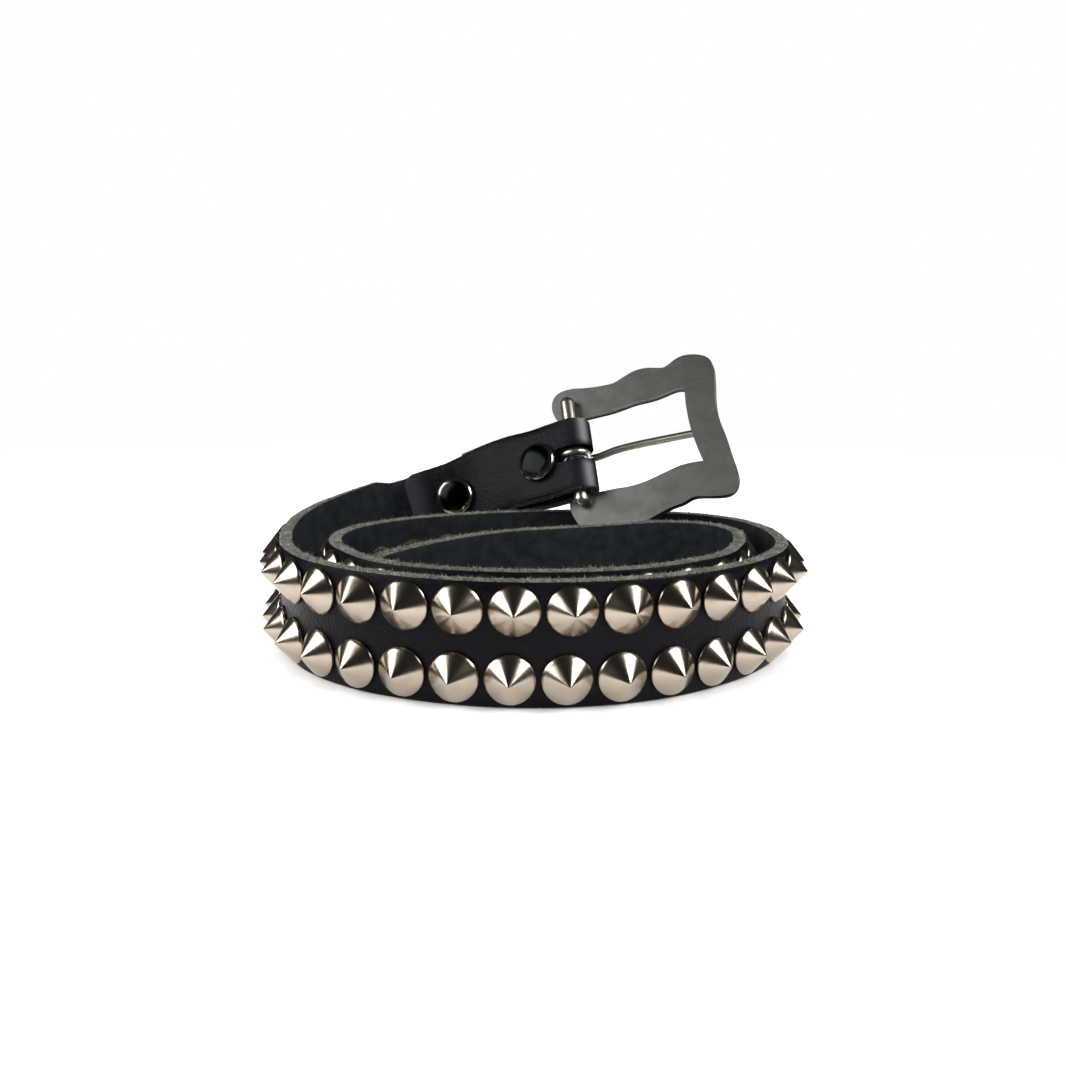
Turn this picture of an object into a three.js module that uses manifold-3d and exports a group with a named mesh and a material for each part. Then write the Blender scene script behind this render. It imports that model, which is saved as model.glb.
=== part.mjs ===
// A studded leather belt, coiled almost twice and standing on its lower edge.
// Millimetres, +Z up. X runs across the coil, +Y to the back, where the buckle hangs.
import * as THREE from 'three';
import { mergeVertices } from 'three/addons/utils/BufferGeometryUtils.js';
import Module from 'manifold-3d';

// Strap
const strapWidth = 32;
const strapThick = 4;
const narrowWidth = 27.5;
const shoulderAt = 74;
const shoulderRun = 8;
const taperEnd = 20;
const taperStart = 112;
const tipLength = 9;
const tipFullness = 0.85;
const flapLength = 70;
const flapCorner = 5;
const flapStep = 5;
const foldEase = 40;
const foldSteps = 8;
const minStep = 0.5;
const flapCornerShares = [0, 0.12, 0.4, 0.75, 1];
const tipShares = [0, 0.06, 0.2, 0.45, 0.75];

// Cone studs, in two rows
const studDiameter = 13;
const studHeight = 6;
const studRim = 1.1;
const studSunk = 1.2;
const studSides = 10;
const studPitch = 13.65;
const studStart = 112;
const studEnd = 9.93;
const rowSpacing = 17.3;
const rowRaise = 0.2;
const rowStagger = 1.07;

// Belt holes, on the strap's middle line
const holeDiameter = 3.6;
const holeSides = 12;
const holeCount = 5;
const holePitch = 25.4;
const holeFromTip = 53;

// Coil
const coilWidth = 160;
const coilDepth = 120;
const coilSpine = 50;
const runGap = 0.6;
const stepsPerPitch = 2;
const pathSamples = 1600;

// Buckle bar and prong
const barDiameter = 5.5;
const barOverlap = 8.3;
const barShift = 3.6;
const barEase = 0.4;
const prongWire = 3;
const prongSides = 8;
const prongLift = 1;
const prongBow = 1.2;
const slotWidth = 5.6;
const slotReach = 6.2;
const prongReach = 0.775;
const prongSteps = 30;
const ringSteps = 14;
const ringStart = -0.35 * Math.PI;
const ringEnd = 1.5 * Math.PI;
const barSides = 12;
const domeSteps = 3;

// Buckle frame, a flat C-shaped casting behind the bar
const frameLength = 61;
const frameHeight = 58;
const frameThick = 3.2;
const frameBevel = 0.6;
const frameShift = 1.3;
const framePoints = 96;

// Snaps and keeper
const snapCap = 14.5;
const snapDome = 2.6;
const snapPost = 5;
const snapBack = 10;
const snapBackDome = 1.6;
const snapSides = 16;
const snapDish = 0.8;
const snapMeeting = 0.7;
const snapPlaces = [12, 49.5];
const keeperWidth = 12.7;
const keeperThick = 2;
const keeperAt = 37;
const keeperRoom = 10.8;
const keeperEase = 0.5;
const keeperCorner = 2;
const keeperSteps = 3;

// Small gaps between pieces that touch
const clearance = 0.3;
const runPitch = strapThick + studHeight + runGap;
const barRadius = barDiameter / 2;
const wireRadius = prongWire / 2;
const frameBack = barRadius + clearance;
const foldRadius = barRadius + barEase + strapThick / 2;
const flapSpacing = strapThick + keeperThick + 2 * keeperEase;

const blackLeather = new THREE.MeshStandardMaterial({ color: '#1d1d22', roughness: 0.55, metalness: 0 });
const nickel = new THREE.MeshStandardMaterial({ color: '#b9b3ab', roughness: 0.2, metalness: 1 });
const greyMetal = new THREE.MeshStandardMaterial({ color: '#6b6b68', roughness: 0.5, metalness: 1 });

// The front run of the coil, as shares of its width and depth, left to right.
const frontRun = [
  { across: -0.478, back: 0.490 },
  { across: -0.441, back: 0.345 },
  { across: -0.375, back: 0.211 },
  { across: -0.281, back: 0.111 },
  { across: -0.168, back: 0.048 },
  { across: -0.048, back: 0.018 },
  { across: 0.074, back: 0.024 },
  { across: 0.192, back: 0.065 },
  { across: 0.299, back: 0.142 },
  { across: 0.390, back: 0.249 },
  { across: 0.456, back: 0.384 },
];

// The strap's middle line from the bar to the tip. laps counts the runs that lie outside it,
// rise is the height of its middle over half its width, and lean turns its top to the inside.
const route = [
  { across: 0.109, back: 0.968, laps: 0, rise: 1.03, lean: -26 },
  { across: 0.031, back: 1.000, laps: 0, rise: 0.905, lean: -24 },
  { across: -0.050, back: 1.038, laps: 0, rise: 0.815, lean: -19 },
  { across: -0.175, back: 1.081, laps: 0, rise: 0.55, lean: -13 },
  { across: -0.312, back: 1.087, laps: 0, rise: 0.34, lean: -11 },
  { across: -0.412, back: 1.021, laps: 0, rise: 0.19, lean: -8 },
  { across: -0.481, back: 0.908, laps: 0, rise: 0.085, lean: -5 },
  { across: -0.506, back: 0.767, laps: 0, rise: 0.03, lean: -2 },
  { across: -0.500, back: 0.620, laps: 0, rise: 0, lean: 0 },
  ...frontRun.map((row) => ({ ...row, laps: 0, rise: 0, lean: 0 })),
  { across: 0.483, back: 0.533, laps: 0, rise: 0, lean: 0 },
  { across: 0.481, back: 0.667, laps: 0, rise: 0, lean: 0 },
  { across: 0.447, back: 0.800, laps: 0, rise: 0, lean: 0 },
  { across: 0.369, back: 0.892, laps: 0, rise: 0, lean: 0 },
  { across: 0.283, back: 1.014, laps: 1, rise: 0, lean: 0 },
  { across: 0.150, back: 1.030, laps: 1, rise: 0, lean: 0 },
  { across: 0.050, back: 1.024, laps: 1, rise: 0, lean: 0 },
  { across: -0.050, back: 1.000, laps: 1, rise: 0, lean: 0 },
  { across: -0.150, back: 0.953, laps: 1, rise: 0, lean: 0 },
  { across: -0.280, back: 0.868, laps: 1, rise: 0, lean: 0 },
  { across: -0.382, back: 0.748, laps: 1, rise: 0, lean: 0 },
  { across: -0.434, back: 0.619, laps: 1, rise: 0, lean: 0 },
  { across: -0.445, back: 0.478, laps: 1, rise: 0, lean: 0 },
  { across: -0.422, back: 0.349, laps: 1, rise: 0, lean: 0 },
  { across: -0.362, back: 0.220, laps: 1, rise: 0, lean: 0 },
  ...frontRun.slice(3, 10).map((row) => ({ ...row, laps: 1, rise: 0, lean: 0 })),
  { across: 0.448, back: 0.400, laps: 1, rise: 0, lean: 0 },
  { across: 0.469, back: 0.507, laps: 1, rise: 0, lean: 0 },
  { across: 0.473, back: 0.640, laps: 1, rise: 0, lean: 0 },
  { across: 0.438, back: 0.750, laps: 1, rise: 0, lean: 0 },
  { across: 0.372, back: 0.806, laps: 1, rise: 0, lean: 0 },
  { across: 0.290, back: 0.822, laps: 1, rise: 0, lean: 0 },
  { across: 0.194, back: 0.806, laps: 1, rise: 0, lean: 0 },
  { across: 0.109, back: 0.778, laps: 1, rise: 0, lean: 0 },
  { across: 0.037, back: 0.756, laps: 1, rise: 0, lean: 0 },
  { across: -0.031, back: 0.738, laps: 1, rise: 0, lean: 0 },
  { across: -0.100, back: 0.695, laps: 1, rise: 0, lean: 0 },
  { across: -0.173, back: 0.637, laps: 1, rise: 0, lean: 2 },
  { across: -0.289, back: 0.452, laps: 1, rise: 0, lean: 4 },
  { across: -0.323, back: 0.345, laps: 1, rise: 0, lean: 5 },
  { across: -0.339, back: 0.273, laps: 1, rise: 0, lean: 6 },
  { across: -0.322, back: 0.230, laps: 1, rise: 0, lean: 7 },
];

const up = new THREE.Vector3(0, 0, 1);

function routePoint(row) {
  const point = new THREE.Vector3(row.across * coilWidth, row.back * coilDepth, 0);
  const spine = new THREE.Vector3(
    THREE.MathUtils.clamp(point.x, -coilSpine / 2, coilSpine / 2),
    coilDepth / 2,
    0,
  );
  const inward = spine.sub(point).normalize();
  point.addScaledVector(inward, row.laps * runPitch);
  point.z = strapWidth * (0.5 + row.rise);
  return point;
}

// Place, direction and tilt of the strap at any distance from the bar.
function makePath() {
  const curve = new THREE.CatmullRomCurve3(route.map(routePoint), false, 'centripetal');
  const leans = new THREE.CatmullRomCurve3(
    route.map((row, i) => new THREE.Vector3(i, THREE.MathUtils.degToRad(row.lean), 0)),
    false,
    'centripetal',
  );
  const points = curve.getPoints(pathSamples);
  for (const point of points) point.z = Math.max(point.z, strapWidth / 2);
  const tilts = leans.getPoints(pathSamples);
  const lengths = [0];
  for (let i = 1; i < points.length; i += 1) {
    lengths.push(lengths[i - 1] + points[i].distanceTo(points[i - 1]));
  }
  const length = lengths[lengths.length - 1];
  const at = (distance) => {
    const wanted = THREE.MathUtils.clamp(distance, 0, length);
    let i = 1;
    while (i < lengths.length - 1 && lengths[i] < wanted) i += 1;
    const share = (wanted - lengths[i - 1]) / (lengths[i] - lengths[i - 1]);
    const share0 = (i - 1 + share) / pathSamples;
    const place = points[i - 1].clone().lerp(points[i], share);
    const along = curve.getTangent(THREE.MathUtils.clamp(share0, 0, 1));
    const lean = THREE.MathUtils.lerp(tilts[i - 1].y, tilts[i].y, share);
    const outward = along.clone().cross(up).normalize();
    outward.applyAxisAngle(along, -lean);
    const upward = outward.clone().cross(along).normalize();
    return { place, along, outward, upward };
  };
  return { length, at };
}

const wasm = await Module();
wasm.setup();

function toSolid(geometry) {
  const bare = geometry.clone();
  bare.deleteAttribute('normal');
  bare.deleteAttribute('uv');
  const merged = mergeVertices(bare, 1e-4);
  return new wasm.Manifold(new wasm.Mesh({
    numProp: 3,
    vertProperties: Float32Array.from(merged.attributes.position.array),
    triVerts: Uint32Array.from(merged.index.array),
  }));
}

function fromSolid(solid) {
  const mesh = solid.getMesh();
  const geometry = new THREE.BufferGeometry();
  geometry.setAttribute('position', new THREE.BufferAttribute(Float32Array.from(mesh.vertProperties), 3));
  geometry.setIndex([...mesh.triVerts]);
  const faceted = geometry.toNonIndexed();
  faceted.computeVertexNormals();
  return faceted;
}

// Moves a geometry so that its own x, y and z lie along three given directions at a place.
function settle(geometry, place, xAxis, yAxis, zAxis) {
  const matrix = new THREE.Matrix4().makeBasis(xAxis, yAxis, zAxis).setPosition(place);
  return geometry.clone().applyMatrix4(matrix);
}

const path = makePath();
const strapEnd = path.at(0);
const barAxis = strapEnd.upward;
const barForward = strapEnd.along.clone().negate();
const barFront = strapEnd.outward.clone().negate();
const barPlace = strapEnd.place.clone().addScaledVector(barFront, foldRadius);

// A point in the buckle's own directions: away from the strap, up the bar, out of its back.
function buckleSpot(forward, upward, front) {
  return barPlace.clone()
    .addScaledVector(barForward, forward)
    .addScaledVector(barAxis, upward)
    .addScaledVector(barFront, front);
}

// Half the strap's width at a distance from the bar: a narrow end with a shoulder at the bar,
// a long taper at the other end, and a round tip.
function halfWidthAt(distance) {
  const narrow = narrowWidth / 2;
  const full = strapWidth / 2;
  const left = path.length - distance;
  const widenIn = THREE.MathUtils.smoothstep(distance, shoulderAt, shoulderAt + shoulderRun);
  const widenOut = THREE.MathUtils.clamp((left - taperEnd) / (taperStart - taperEnd), 0, 1);
  const body = narrow + (full - narrow) * Math.min(widenIn, widenOut);
  const intoTip = THREE.MathUtils.clamp(1 - left / tipLength, 0, 1);
  return body * Math.sqrt(1 - (intoTip * tipFullness) ** 2);
}

function flapHalfWidthAt(distance) {
  const intoCorner = THREE.MathUtils.clamp(1 - (flapLength - distance) / flapCorner, 0, 1);
  return narrowWidth / 2 - flapCorner * (1 - Math.sqrt(1 - intoCorner ** 2));
}

// The flap lies on the strap's inner side and draws closer to it away from the bar.
function flapSpacingAt(distance) {
  const share = THREE.MathUtils.smoothstep(distance, 0, foldEase);
  return THREE.MathUtils.lerp(2 * foldRadius, flapSpacing, share);
}

// A place on the flap's middle line, with the flap's own directions.
function flapAt(distance) {
  const here = path.at(distance);
  const slope = flapSpacingAt(distance + 0.5) - flapSpacingAt(distance - 0.5);
  const along = here.along.clone().addScaledVector(here.outward, -slope).normalize();
  const grain = along.clone().cross(here.upward).negate().normalize();
  const place = here.place.clone().addScaledVector(here.outward, -flapSpacingAt(distance));
  return { place, grain, upward: here.upward };
}

// One closed ribbon: the flap from its end to the bar, round the bar, and the strap to its tip.
function strapStations() {
  const stations = [];
  const flapSteps = Math.round(flapLength / flapStep);
  const corner = flapCornerShares.map((share) => flapLength - share * flapCorner);
  const straight = flapLength - flapCorner;
  const plain = Array.from({ length: flapSteps }, (_, i) => straight * (1 - (i + 1) / flapSteps));
  for (const distance of [...corner, ...plain]) {
    stations.push({ ...flapAt(distance), half: flapHalfWidthAt(distance) });
  }
  for (let i = 1; i < foldSteps; i += 1) {
    const turn = Math.PI * i / foldSteps;
    const grain = barFront.clone().multiplyScalar(Math.cos(turn)).addScaledVector(barForward, Math.sin(turn));
    stations.push({
      place: barPlace.clone().addScaledVector(grain, foldRadius),
      grain,
      upward: barAxis,
      half: narrowWidth / 2,
    });
  }
  const marks = new Set([0, shoulderAt, shoulderAt + shoulderRun / 2, shoulderAt + shoulderRun]);
  marks.add(path.length - taperStart).add(path.length - taperEnd);
  for (const share of tipShares) marks.add(path.length - share * tipLength);
  const step = studPitch / stepsPerPitch;
  for (let left = studEnd; left < path.length; left += step) marks.add(path.length - left);
  const sorted = [...marks].sort((a, b) => a - b);
  const spaced = sorted.filter((mark, i) => i === 0 || mark - sorted[i - 1] > minStep);
  for (const distance of spaced) {
    const here = path.at(distance);
    stations.push({
      place: here.place,
      grain: here.outward,
      upward: here.upward,
      half: halfWidthAt(distance),
    });
  }
  return stations;
}

function ribbonGeometry(stations) {
  const positions = [];
  const indices = [];
  const corners = [[1, 1], [1, -1], [-1, -1], [-1, 1]];
  stations.forEach(({ place, grain, upward, half }, ring) => {
    for (const [high, out] of corners) {
      const corner = place.clone()
        .addScaledVector(upward, high * half)
        .addScaledVector(grain, out * strapThick / 2);
      positions.push(...corner.toArray());
    }
    if (ring === 0) return;
    const a = (ring - 1) * corners.length;
    const b = ring * corners.length;
    corners.forEach((_, side) => {
      const next = (side + 1) % corners.length;
      indices.push(a + side, b + side, b + next, a + side, b + next, a + next);
    });
  });
  const last = (stations.length - 1) * corners.length;
  indices.push(0, 1, 2, 0, 2, 3, last, last + 2, last + 1, last, last + 3, last + 2);
  const geometry = new THREE.BufferGeometry();
  geometry.setAttribute('position', new THREE.Float32BufferAttribute(positions, 3));
  geometry.setIndex(indices);
  return geometry;
}

// A cone stud, its own y pointing out of the leather, its rim let into the grain side.
function studGeometry() {
  const radius = studDiameter / 2;
  const profile = [
    new THREE.Vector2(0, -studSunk),
    new THREE.Vector2(radius, -studSunk),
    new THREE.Vector2(radius, studRim),
    new THREE.Vector2(0, studHeight),
  ];
  return new THREE.LatheGeometry(profile, studSides);
}

function studPlaces() {
  const room = path.length - studStart - studEnd;
  const count = Math.floor(room / studPitch) + 1;
  return Array.from({ length: count }, (_, i) => path.length - studEnd - i * studPitch);
}

function addStuds(strap) {
  const stud = studGeometry();
  let studded = strap;
  for (const distance of studPlaces()) {
    for (const row of [1, -1]) {
      const here = path.at(distance - (row < 0 ? rowStagger : 0));
      const place = here.place.clone()
        .addScaledVector(here.upward, row * rowSpacing / 2 + rowRaise)
        .addScaledVector(here.outward, strapThick / 2);
      const side = here.upward.clone().cross(here.outward);
      studded = studded.add(toSolid(settle(stud, place, here.upward, here.outward, side)));
    }
  }
  return studded;
}

// Belt holes pass between the two rows of studs.
function cutHoles(strap) {
  const cutter = new THREE.CylinderGeometry(holeDiameter / 2, holeDiameter / 2, 3 * strapThick, holeSides);
  let cut = strap;
  for (let i = 0; i < holeCount; i += 1) {
    const here = path.at(path.length - holeFromTip - i * holePitch);
    const side = here.upward.clone().cross(here.outward);
    const place = here.place.clone().addScaledVector(here.upward, rowRaise);
    cut = cut.subtract(toSolid(settle(cutter, place, here.upward, here.outward, side)));
  }
  return cut;
}

// Slot in the fold for the prong, round at both its ends.
function cutSlot(strap) {
  const half = slotWidth / 2;
  const outline = new THREE.Shape();
  outline.moveTo(foldRadius + strapThick, half);
  outline.lineTo(half - slotReach, half);
  outline.absarc(half - slotReach, 0, half, Math.PI / 2, Math.PI * 1.5, false);
  outline.lineTo(foldRadius + strapThick, -half);
  const depth = 2 * (foldRadius + strapThick);
  const cutter = new THREE.ExtrudeGeometry(outline, { depth, bevelEnabled: false, curveSegments: 8 });
  cutter.translate(0, 0, -depth / 2);
  return strap.subtract(toSolid(settle(cutter, barPlace, barForward, barAxis, barFront)));
}

// The two layers that a snap joins, each with the direction out of its grain side.
function snapLayers(distance) {
  const here = path.at(distance);
  return {
    flap: flapAt(distance),
    strap: { place: here.place, grain: here.outward, upward: here.upward },
  };
}

function settleOnLayer(geometry, layer) {
  const side = layer.upward.clone().cross(layer.grain);
  return settle(geometry, layer.place, layer.upward, layer.grain, side);
}

function cutSnapHoles(strap) {
  const radius = snapPost / 2 + clearance;
  const cutter = new THREE.CylinderGeometry(radius, radius, 1.5 * strapThick, snapSides);
  let cut = strap;
  for (const distance of snapPlaces) {
    const { flap, strap: main } = snapLayers(distance);
    cut = cut.subtract(toSolid(settleOnLayer(cutter, flap)));
    cut = cut.subtract(toSolid(settleOnLayer(cutter, main)));
  }
  return cut;
}

const belt = new THREE.Group();

function addMesh(name, geometry, material) {
  const mesh = new THREE.Mesh(geometry, material);
  mesh.name = name;
  belt.add(mesh);
}

function buildStrap() {
  let strap = toSolid(ribbonGeometry(strapStations()));
  strap = addStuds(strap);
  strap = cutHoles(strap);
  strap = cutSlot(strap);
  strap = cutSnapHoles(strap);
  addMesh('studded_strap', fromSolid(strap), blackLeather);
}

// Outlines of a snap's cap and back, as shares of its radius and of its dome's height.
const capOutline = [
  { across: 1, high: 0 },
  { across: 1, high: 0.3 },
  { across: 0.84, high: 0.65 },
  { across: 0.5, high: 0.92 },
  { across: 0, high: 1 },
];
const backOutline = [
  { across: 1, high: 0 },
  { across: 1, high: 0.4 },
  { across: 0.7, high: 1 },
  { across: 0, high: 1 },
];

// A turned post with a wider head: the post's foot, the leather's face, and the head on it.
function snapGeometry(foot, face, rim, radius, dome, outline) {
  const profile = [
    new THREE.Vector2(0, foot),
    new THREE.Vector2(snapPost / 2, foot),
    new THREE.Vector2(snapPost / 2, face),
    ...outline.map((row) => new THREE.Vector2(row.across * radius, rim + row.high * dome)),
  ];
  return new THREE.LatheGeometry(profile, snapSides);
}

// Each snap is two turned pieces: a domed cap on the flap and a flat back on the strap's
// outer side. Their posts meet between the two layers.
function buildSnaps() {
  snapPlaces.forEach((distance, i) => {
    const { flap, strap } = snapLayers(distance);
    const face = strapThick / 2 + clearance;
    const foot = snapMeeting / 2 - flapSpacingAt(distance) / 2;
    const cap = snapGeometry(foot, face, face + snapDish, snapCap / 2, snapDome, capOutline);
    const back = snapGeometry(foot, face, face, snapBack / 2, snapBackDome, backOutline);
    addMesh(`snap_${i + 1}_cap`, settleOnLayer(cap, flap), nickel);
    addMesh(`snap_${i + 1}_back`, settleOnLayer(back, strap), nickel);
  });
}

// Corner points of a rectangle with its corners cut, as steps outward and upward.
function cutRectangle(inner, outer, half, corner) {
  return [
    [outer - corner, -half],
    [outer, corner - half],
    [outer, half - corner],
    [outer - corner, half],
    [inner + corner, half],
    [inner, half - corner],
    [inner, corner - half],
    [inner + corner, -half],
  ];
}

// The keeper loop runs between flap and strap and stands off the strap's outer side. It is
// bent along with the strap: the same section at a few distances from the bar.
function buildKeeper() {
  const inner = -strapThick / 2 - keeperEase;
  const outer = strapThick / 2 + keeperRoom;
  const half = narrowWidth / 2 + keeperEase;
  const rim = cutRectangle(inner - keeperThick, outer + keeperThick, half + keeperThick, keeperCorner);
  const hole = cutRectangle(inner, outer, half, keeperCorner / 4);
  const count = rim.length;
  const positions = [];
  const indices = [];
  for (let ring = 0; ring <= keeperSteps; ring += 1) {
    const here = path.at(keeperAt + keeperWidth * (ring / keeperSteps - 0.5));
    for (const [out, high] of [...rim, ...hole]) {
      const point = here.place.clone().addScaledVector(here.outward, out).addScaledVector(here.upward, high);
      positions.push(...point.toArray());
    }
  }
  const quad = (a, b, c, d) => indices.push(a, c, b, a, d, c);
  for (let side = 0; side < count; side += 1) {
    const next = (side + 1) % count;
    for (let ring = 0; ring < keeperSteps; ring += 1) {
      const near = ring * 2 * count;
      const far = near + 2 * count;
      quad(near + side, near + next, far + next, far + side);
      quad(near + count + next, near + count + side, far + count + side, far + count + next);
    }
    const last = keeperSteps * 2 * count;
    quad(next, side, count + side, count + next);
    quad(last + side, last + next, last + count + next, last + count + side);
  }
  const geometry = new THREE.BufferGeometry();
  geometry.setAttribute('position', new THREE.Float32BufferAttribute(positions, 3));
  geometry.setIndex(indices);
  addMesh('keeper_loop', geometry, blackLeather);
}

// Outline of the casting from the corner of its opening, round the opening to the upper lobe,
// along the outside to the lower lobe and back. Shares of its length and height.
const frameOutline = [
  { along: 0.749, across: -0.247 },
  { along: 0.730, across: -0.140 },
  { along: 0.713, across: 0 },
  { along: 0.712, across: 0.140 },
  { along: 0.720, across: 0.262 },
  { along: 0.700, across: 0.285 },
  { along: 0.650, across: 0.293 },
  { along: 0.530, across: 0.279 },
  { along: 0.400, across: 0.284 },
  { along: 0.250, across: 0.275 },
  { along: 0.080, across: 0.283 },
  { along: -0.030, across: 0.272 },
  { along: -0.085, across: 0.310 },
  { along: -0.109, across: 0.390 },
  { along: -0.095, across: 0.458 },
  { along: -0.048, across: 0.492 },
  { along: 0.030, across: 0.491 },
  { along: 0.125, across: 0.466 },
  { along: 0.220, across: 0.449 },
  { along: 0.300, across: 0.444 },
  { along: 0.375, across: 0.467 },
  { along: 0.440, across: 0.484 },
  { along: 0.510, across: 0.479 },
  { along: 0.570, across: 0.458 },
  { along: 0.612, across: 0.446 },
  { along: 0.650, across: 0.455 },
  { along: 0.700, across: 0.478 },
  { along: 0.750, across: 0.485 },
  { along: 0.815, across: 0.467 },
  { along: 0.870, across: 0.430 },
  { along: 0.892, across: 0.370 },
  { along: 0.882, across: 0.260 },
  { along: 0.862, across: 0.120 },
  { along: 0.861, across: 0.020 },
  { along: 0.877, across: -0.100 },
  { along: 0.889, across: -0.230 },
  { along: 0.901, across: -0.350 },
  { along: 0.895, across: -0.415 },
  { along: 0.868, across: -0.458 },
  { along: 0.825, across: -0.472 },
  { along: 0.757, across: -0.460 },
  { along: 0.680, across: -0.439 },
  { along: 0.630, across: -0.437 },
  { along: 0.575, across: -0.455 },
  { along: 0.505, across: -0.464 },
  { along: 0.418, across: -0.488 },
  { along: 0.330, across: -0.510 },
  { along: 0.211, across: -0.514 },
  { along: 0.108, across: -0.509 },
  { along: 0.020, across: -0.490 },
  { along: -0.040, across: -0.437 },
  { along: -0.074, across: -0.362 },
  { along: -0.082, across: -0.295 },
  { along: -0.050, across: -0.268 },
  { along: 0.100, across: -0.269 },
  { along: 0.197, across: -0.274 },
  { along: 0.290, across: -0.283 },
  { along: 0.385, across: -0.279 },
  { along: 0.500, across: -0.256 },
  { along: 0.600, across: -0.236 },
  { along: 0.693, across: -0.238 },
  { along: 0.749, across: -0.247 },
];

function buildFrame() {
  const points = frameOutline.map((row) => new THREE.Vector2(
    row.along * frameLength,
    row.across * frameHeight + frameShift,
  ));
  const outline = new THREE.SplineCurve(points).getPoints(framePoints);
  const shape = new THREE.Shape(outline.slice(0, -1));
  const geometry = new THREE.ExtrudeGeometry(shape, {
    depth: frameThick - 2 * frameBevel,
    bevelThickness: frameBevel,
    bevelSize: frameBevel,
    bevelOffset: -frameBevel,
    bevelSegments: 1,
    steps: 1,
  });
  geometry.translate(0, 0, frameBevel - frameThick - frameBack);
  addMesh('buckle_frame', settle(geometry, barPlace, barForward, barAxis, barFront), greyMetal);
}

// The bar is a round rod with domed ends, lying across the frame's two lobes. The strap sits
// nearer to its lower end.
function buildBar() {
  const half = narrowWidth / 2 + barOverlap;
  const profile = [new THREE.Vector2(0, -half)];
  for (let i = 1; i < domeSteps; i += 1) {
    const turn = Math.PI / 2 * i / domeSteps;
    profile.push(new THREE.Vector2(barRadius * Math.sin(turn), barRadius * (1 - Math.cos(turn)) - half));
  }
  profile.push(new THREE.Vector2(barRadius, barRadius - half));
  const mirrored = profile.map((point) => new THREE.Vector2(point.x, -point.y)).reverse();
  const geometry = new THREE.LatheGeometry([...profile, ...mirrored], barSides);
  const place = buckleSpot(0, barShift, 0);
  addMesh('buckle_bar', settle(geometry, place, barForward, barAxis, barFront), nickel);
}

// The prong's run from the bar to its tip, as shares of its reach and of the frame's height.
const prongRun = [
  { along: 0.15, across: 0.016 },
  { along: 0.3, across: 0.036 },
  { along: 0.45, across: 0.039 },
  { along: 0.6, across: 0.034 },
  { along: 0.85, across: 0.019 },
  { along: 1, across: 0.009 },
];

// The prong is one wire: a loop round the bar, then a slightly bowed run across the opening
// whose tip rests on the front of the frame.
function buildProng() {
  const ring = barRadius + barEase + wireRadius;
  const points = [];
  for (let i = 0; i <= ringSteps; i += 1) {
    const turn = ringStart + (ringEnd - ringStart) * i / ringSteps;
    points.push(new THREE.Vector3(ring * Math.cos(turn), prongLift, ring * Math.sin(turn)));
  }
  const rest = -(frameBack + frameThick + clearance + wireRadius);
  const reach = prongReach * frameLength;
  for (const { along, across } of prongRun) {
    const front = THREE.MathUtils.lerp(-ring, rest, along) - prongBow * Math.sin(Math.PI * along);
    points.push(new THREE.Vector3(along * reach, across * frameHeight, front));
  }
  const section = new THREE.Shape();
  section.absarc(0, 0, wireRadius, 0, 2 * Math.PI, false);
  const geometry = new THREE.ExtrudeGeometry(section, {
    steps: prongSteps,
    extrudePath: new THREE.CatmullRomCurve3(points, false, 'centripetal'),
    curveSegments: prongSides / 2,
  });
  addMesh('prong', settle(geometry, barPlace, barForward, barAxis, barFront), nickel);
}

buildStrap();
buildSnaps();
buildKeeper();
buildFrame();
buildBar();
buildProng();

// The origin is the middle of the belt's outline on the floor.
const extent = new THREE.Box3().setFromObject(belt, true);
const middle = extent.getCenter(new THREE.Vector3());
belt.position.set(-middle.x, -middle.y, -extent.min.z);

const group = new THREE.Group();
group.add(belt);

export default group;
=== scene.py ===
import math
import random

import bpy
from mathutils import Matrix, Vector, noise
from mathutils.geometry import tessellate_polygon


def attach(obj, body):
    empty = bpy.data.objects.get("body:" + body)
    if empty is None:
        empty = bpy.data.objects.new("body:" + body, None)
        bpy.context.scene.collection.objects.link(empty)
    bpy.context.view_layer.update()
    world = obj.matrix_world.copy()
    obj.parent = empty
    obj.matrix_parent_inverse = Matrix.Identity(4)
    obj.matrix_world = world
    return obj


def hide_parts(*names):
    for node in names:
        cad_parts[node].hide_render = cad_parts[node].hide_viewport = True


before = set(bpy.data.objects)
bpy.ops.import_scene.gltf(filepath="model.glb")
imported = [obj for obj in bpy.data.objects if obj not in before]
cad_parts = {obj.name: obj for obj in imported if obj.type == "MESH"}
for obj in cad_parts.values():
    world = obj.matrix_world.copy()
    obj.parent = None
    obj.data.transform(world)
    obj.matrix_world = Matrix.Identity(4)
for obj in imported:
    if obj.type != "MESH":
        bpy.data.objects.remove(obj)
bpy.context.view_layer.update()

# Table and light. The belt stands on a small white table that runs up into a white wall, in
# a dark room, between two wide soft lights. Polished metal mirrors only the near part of the
# table, and the far part is seen plain white.
TABLE_TONE = (0.93, 0.925, 0.92, 1)
TABLE_NEAR = 0.16
TABLE_FAR = 0.25
WHITE_FROM = 0.4
ROOM_FILL = 0.95
ROOM_DARK = 0.022
CAMERA_PLACE = (0.0017, -0.2622, 0.0793)
CAMERA_DOWN = 0.1821
CAMERA_ROLL = 0.0071
CAMERA_LENS = 27.83


def nodes_of(material):
    material.use_nodes = True
    tree = material.node_tree
    return tree, tree.nodes["Principled BSDF"]


def put(tree, kind, **inputs):
    made = tree.nodes.new(kind)
    for name, value in inputs.items():
        made.inputs[name.replace("_", " ")].default_value = value
    return made


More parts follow.
